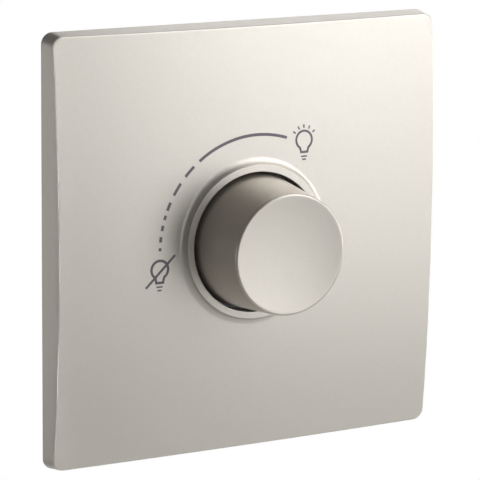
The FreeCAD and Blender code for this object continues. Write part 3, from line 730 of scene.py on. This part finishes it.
def mixed(made, share, first, second):
    """One colour or another by a share; each is a colour or comes from a socket."""
    node = made.node_tree.nodes.new("ShaderNodeMix")
    node.data_type = "RGBA"
    lead(share, node, "Factor")
    first_colour, second_colour, mixed_colour = 6, 7, 2
    for index, colour in ((first_colour, first), (second_colour, second)):
        if isinstance(colour, tuple):
            node.inputs[index].default_value = (*colour, 1)
        else:
            lead(colour, node, index)
    return node.outputs[mixed_colour]


def ripple(made, value, radians):
    """A wave along a value, with so many radians to one of it."""
    return value_of(made, "SINE", value_of(made, "MULTIPLY", value, radians))


across, _, upward = axes_of(laminate, laminate_place)
thread = 2 * math.pi / (0.55 * mm)
weave = value_of(laminate, "MULTIPLY", ripple(laminate, across, thread), ripple(laminate, upward, thread))
cells = laminate.node_tree.nodes.new("ShaderNodeTexVoronoi")
cells.distance = "MANHATTAN"
cells.feature = "DISTANCE_TO_EDGE"
cells.inputs["Scale"].default_value = 240
lead(laminate_place, cells, "Vector")
tracks = spread(laminate, cells.outputs["Distance"], 0, 1, 0.08, 0.12)
lacquer = mixed(laminate, tracks, (0.010, 0.085, 0.030), (0.022, 0.150, 0.050))
turned_to = laminate.node_tree.nodes.new("ShaderNodeTexCoord").outputs["Normal"]
faces_wall = value_of(laminate, "ABSOLUTE", axes_of(laminate, turned_to)[1])
cut_edge = value_of(laminate, "LESS_THAN", faces_wall, 0.5)
lead(mixed(laminate, cut_edge, lacquer, (0.42, 0.36, 0.20)), laminate_shader, "Base Color")
lead(spread(laminate, weave, 0.22, 0.34, -1, 1), laminate_shader, "Roughness")
relief = value_of(laminate, "ADD", value_of(laminate, "MULTIPLY", weave, 0.2), tracks)
bump(laminate, laminate_shader, relief, 0.02 * mm)
dress(laminate, "circuit_board")

# Triac
# Black epoxy moulded on a plated copper tab, which a screw clamps on the heat sink over a grey silicone pad.
# Its three leads are tinned strip, bent back into the board.
black_epoxy = moulding("black_epoxy", (0.014, 0.014, 0.014), (0.026, 0.026, 0.027),
                       rough=0.36, grain=3200, grain_height=0.005 * mm)
pad_cloth, pad_shader, pad_place = material("silicone_cloth")
pad_x, _, pad_z = axes_of(pad_cloth, pad_place)
pad_thread = 9000
pad_weft, pad_warp = ripple(pad_cloth, pad_x, pad_thread), ripple(pad_cloth, pad_z, pad_thread)
pad_weave = value_of(pad_cloth, "ADD", pad_weft, pad_warp)
pad_tone = spread(pad_cloth, pad_weave, 0, 1, -2, 2)
lead(tint(pad_cloth, pad_tone, ((0.22, 0.24, 0.27), (0.34, 0.36, 0.39))), pad_shader, "Base Color")
lead(spread(pad_cloth, noise(pad_cloth, pad_place, 700), 0.6, 0.75), pad_shader, "Roughness")
bump(pad_cloth, pad_shader, pad_weave, 0.01 * mm)
dress(black_epoxy, "triac_body", "diac")
dress(pad_cloth, "triac_pad")
dress(tinned_strip, "triac_tab", "triac_leads", "diac_leads")
dress(zinc_plate, "triac_screw")
break_edges(0.15 * mm, "triac_body")

# Choke
# A ring of pressed iron powder with yellow lacquer and one white face, as such cores are coded.
# One layer of enamelled copper wire is wound round most of it.
core_low, core_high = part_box("choke_core")
choke_middle = (core_low + core_high) / 2
core_lacquer, core_shader, core_place = material("core_lacquer")
core_grain = noise(core_lacquer, core_place, 1500, 4.0, 0.7)
core_normal = core_lacquer.node_tree.nodes.new("ShaderNodeTexCoord").outputs["Normal"]
white_face = value_of(core_lacquer, "GREATER_THAN", axes_of(core_lacquer, core_normal)[1], 0.5)
yellow = tint(core_lacquer, core_grain, ((0.42, 0.30, 0.03), (0.62, 0.46, 0.06)))
lead(mixed(core_lacquer, white_face, yellow, (0.62, 0.61, 0.57)), core_shader, "Base Color")
lead(spread(core_lacquer, core_grain, 0.34, 0.52), core_shader, "Roughness")
bump(core_lacquer, core_shader, core_grain, 0.03 * mm)
wire, wire_shader, wire_place = material("wound_enamelled_copper")
wire_round = wire.node_tree.nodes.new("ShaderNodeTexGradient")
wire_round.gradient_type = "RADIAL"
wire_turns = 44
turn_axis = wire.node_tree.nodes.new("ShaderNodeMapping")
turn_axis.inputs["Location"].default_value = (-choke_middle.x, choke_middle.z, 0)
turn_axis.inputs["Rotation"].default_value = (math.radians(90), 0, 0)
lead(wire_place, turn_axis, "Vector")
lead(turn_axis.outputs["Vector"], wire_round, "Vector")
wire_wave = ripple(wire, wire_round.outputs["Fac"], 2 * math.pi * wire_turns)
# Across each turn the wire's colour goes dark brown in the grooves between turns: painted shade.
wire_colour_with_painted_groove_shade = tint(wire, spread(wire, wire_wave, 0, 1, -1, 1), ((0.20, 0.055, 0.020), (0.72, 0.27, 0.10)))
lead(wire_colour_with_painted_groove_shade, wire_shader, "Base Color")
wire_shader.inputs["Metallic"].default_value = 0.9
lead(spread(wire, noise(wire, wire_place, 600), 0.2, 0.32), wire_shader, "Roughness")
bump(wire, wire_shader, wire_wave, 0.15 * mm)
dress(core_lacquer, "choke_core")
dress(wire, "choke_winding")

# Capacitors and fuse
# Film capacitors in ochre moulded boxes, their pins soldered in the board.
# The fuse is a sand-filled glass tube with nickel-plated caps, pushed in two tinned clips.
capacitor_box = moulding("ochre_capacitor_box", (0.42, 0.24, 0.030), (0.54, 0.33, 0.055),
                         rough=0.33, grain=2000, grain_height=0.005 * mm)
dress(capacitor_box, "filter_capacitor", "timing_capacitor")
fuse_low, fuse_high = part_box("fuse")
fuse_x = (fuse_low.x + fuse_high.x) / 2
fuse_half = (fuse_high.x - fuse_low.x) / 2
fuse_cap = 5.2 * mm
fuse_tube, fuse_shader, fuse_place = material("glass_fuse_with_caps")
along_fuse = value_of(fuse_tube, "SUBTRACT", axes_of(fuse_tube, fuse_place)[0], fuse_x)
off_middle = value_of(fuse_tube, "ABSOLUTE", along_fuse)
on_cap = value_of(fuse_tube, "GREATER_THAN", off_middle, fuse_half - fuse_cap)
sand = tint(fuse_tube, noise(fuse_tube, fuse_place, 2600, 3.0), ((0.52, 0.55, 0.53), (0.78, 0.80, 0.78)))
clear_glass = value_of(fuse_tube, "MULTIPLY", value_of(fuse_tube, "SUBTRACT", 1.0, on_cap), 0.3)
lead(mixed(fuse_tube, on_cap, sand, (0.70, 0.68, 0.63)), fuse_shader, "Base Color")
lead(on_cap, fuse_shader, "Metallic")
lead(spread(fuse_tube, noise(fuse_tube, fuse_place, 500), 0.08, 0.24), fuse_shader, "Roughness")
lead(clear_glass, fuse_shader, "Transmission Weight")
bump(fuse_tube, fuse_shader, noise(fuse_tube, fuse_place, 400), 0.004 * mm)
dress(fuse_tube, "fuse")
dress(tinned_strip, "fuse_clips")

# Resistors
# Three film resistors in beige lacquer with coloured rings, lying on the board on tinned wires.
resistor_low, resistor_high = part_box("resistors")
resistor_length = resistor_high.x - resistor_low.x
lacquered, lacquer_shader, lacquer_place = material("banded_resistor_lacquer")
along_body = value_of(lacquered, "SUBTRACT", axes_of(lacquered, lacquer_place)[0], resistor_low.x)
rings = lacquered.node_tree.nodes.new("ShaderNodeValToRGB")
rings.color_ramp.interpolation = "CONSTANT"
beige = (0.50, 0.36, 0.20)
brown, black, orange, gold = (0.24, 0.09, 0.04), (0.02, 0.02, 0.02), (0.55, 0.16, 0.03), (0.48, 0.33, 0.08)
ring_colours = ((0.0, beige), (0.15, brown), (0.23, beige), (0.34, black), (0.42, beige),
                (0.53, orange), (0.61, beige), (0.78, gold), (0.86, beige))
while len(rings.color_ramp.elements) < len(ring_colours):
    rings.color_ramp.elements.new(0.5)
for element, (start, colour) in zip(rings.color_ramp.elements, ring_colours):
    element.position = start
    element.color = (*colour, 1)
lead(value_of(lacquered, "DIVIDE", along_body, resistor_length), rings, "Fac")
lead(rings.outputs["Color"], lacquer_shader, "Base Color")
lead(spread(lacquered, noise(lacquered, lacquer_place, 900), 0.18, 0.32), lacquer_shader, "Roughness")
bump(lacquered, lacquer_shader, noise(lacquered, lacquer_place, 1200), 0.01 * mm)
dress(lacquered, "resistors")
dress(tinned_strip, "resistor_leads")

# Studio
# A pale paper floor, a white sheet standing well behind the object, and soft lamps.
# The sheet shows white to the camera and in gloss and glass, and lights nothing.
def flat_sheet(name, corners):
    """One flat rectangle through four corners."""
    mesh = bpy.data.meshes.new(name)
    mesh.from_pydata([Vector(corner) for corner in corners], [], [(0, 1, 2, 3)])
    sheet = bpy.data.objects.new(name, mesh)
    bpy.context.scene.collection.objects.link(sheet)
    return sheet


floor_level = -0.50
floor_half = 6
corner_signs = ((-1, -1), (1, -1), (1, 1), (-1, 1))
floor = flat_sheet("floor", [(x * floor_half, y * floor_half, floor_level) for x, y in corner_signs])
floor_paper, paper_shader, paper_place = material("floor_paper")
paper_tone = noise(floor_paper, paper_place, 3, 3.0)
paper_colour = tint(floor_paper, paper_tone, ((0.80, 0.80, 0.79), (0.84, 0.84, 0.83)))
lead(paper_colour, paper_shader, "Base Color")
paper_shader.inputs["Roughness"].default_value = 0.9
floor_sight = floor_paper.node_tree.nodes.new("ShaderNodeLightPath")
paper_shader.inputs["Emission Color"].default_value = (1, 1, 1, 1)
paper_glow = value_of(floor_paper, "MULTIPLY", floor_sight.outputs["Is Camera Ray"], 0.5)
lead(paper_glow, paper_shader, "Emission Strength")
floor.data.materials.append(floor_paper)

sheet_y = 1.10
sheet_left, sheet_right = -0.95, 2.4
sheet_top = 0.3
backdrop = flat_sheet("backdrop", [(sheet_left, sheet_y, floor_level), (sheet_right, sheet_y, floor_level),
                                   (sheet_right, sheet_y, sheet_top), (sheet_left, sheet_y, sheet_top)])
white_sheet, sheet_shader, _ = material("white_backdrop")
seen = white_sheet.node_tree.nodes.new("ShaderNodeLightPath").outputs
camera_or_gloss = value_of(white_sheet, "MAXIMUM", seen["Is Camera Ray"], seen["Is Glossy Ray"])
shown_white = value_of(white_sheet, "MAXIMUM", camera_or_gloss, seen["Is Transmission Ray"])
sheet_shader.inputs["Base Color"].default_value = (0, 0, 0, 1)
sheet_shader.inputs["Specular IOR Level"].default_value = 0.0
sheet_shader.inputs["Emission Color"].default_value = (1, 1, 1, 1)
lead(shown_white, sheet_shader, "Emission Strength")
backdrop.data.materials.append(white_sheet)

world = bpy.data.worlds.new("studio")
world.use_nodes = True
bpy.context.scene.world = world
sky = world.node_tree.nodes["Background"]
sky.inputs["Color"].default_value = (1, 1, 1, 1)
sky_light = 0.1
sky_sight = world.node_tree.nodes.new("ShaderNodeLightPath").outputs
sky_seen = value_of(world, "MAXIMUM", sky_sight["Is Camera Ray"], sky_sight["Is Transmission Ray"])
lead(value_of(world, "MAXIMUM", sky_seen, sky_light), sky, "Strength")


def direction(turn_deg, rise_deg):
    """A direction off the object, by its turn from the front and its rise."""
    turn, rise = math.radians(turn_deg), math.radians(rise_deg)
    return Vector((math.sin(turn) * math.cos(rise), -math.cos(turn) * math.cos(rise), math.sin(rise)))


def soft_lamp(name, turn_deg, rise_deg, size, power, colour=(1, 1, 1), away=1.0, aim=(0, 0, 0)):
    """A square soft lamp in a direction, some metres from what it is aimed at."""
    towards = direction(turn_deg, rise_deg)
    light = bpy.data.lights.new(name, "AREA")
    light.size = size
    light.energy = power
    light.color = colour
    lamp = bpy.data.objects.new(name, light)
    lamp.location = Vector(aim) + towards * away
    lamp.rotation_euler = (-towards).to_track_quat("-Z", "Y").to_euler()
    bpy.context.scene.collection.objects.link(lamp)
    return light


cool_white = (0.95, 0.98, 1.0)
soft_lamp("key", 49, 36, 0.95, 6.4, cool_white)
soft_lamp("front", 35, 14, 0.45, 0.78, cool_white)
soft_lamp("low_front", 33, -6, 0.5, 1.3, cool_white)
soft_lamp("left_front", -6, 0, 0.25, 0.35)
soft_lamp("left_edge", -101, -5, 0.15, 0.65)
soft_lamp("side", 75, -4, 0.45, 2.6)
soft_lamp("right_back", 137, 27, 0.6, 1.3)
soft_lamp("top", 80, 70, 0.5, 0.85, cool_white)
soft_lamp("behind", 160, -12, 0.45, 2.4)
# The tall strip has a grid, so that it lights only the plate's left edge.
left_strip = soft_lamp("left_strip", -30, -12, 0.008, 0.0024, away=0.4, aim=(-47 * mm, -4 * mm, 0))
left_strip.shape = "RECTANGLE"
left_strip.size_y = 0.16
left_strip.spread = math.radians(2.5)

# The camera's place, directions and focal length in pixels were fitted to the plate's edges in the photo.
photo_width = 480
focal_pixels = 2791.428
view_turn, view_rise, view_roll = -29.143, 12.192, 0.628
camera_place = Vector((-264.635, -475.591, 116.461)) * mm
camera_data = bpy.data.cameras.new("camera")
camera_data.sensor_width = 36
camera_data.lens = focal_pixels / photo_width * camera_data.sensor_width
camera = bpy.data.objects.new("camera", camera_data)
back = direction(view_turn, view_rise)
roll = math.radians(view_roll)
right = (-back).cross(Vector((0, 0, 1))).normalized()
up = right.cross(-back)
turned_right = right * math.cos(roll) + up * math.sin(roll)
turned_up = up * math.cos(roll) - right * math.sin(roll)
camera.matrix_world = Matrix((turned_right, turned_up, back)).transposed().to_4x4()
camera.location = camera_place
bpy.context.scene.collection.objects.link(camera)
bpy.context.scene.camera = camera
bpy.context.scene.view_settings.view_transform = "Standard"
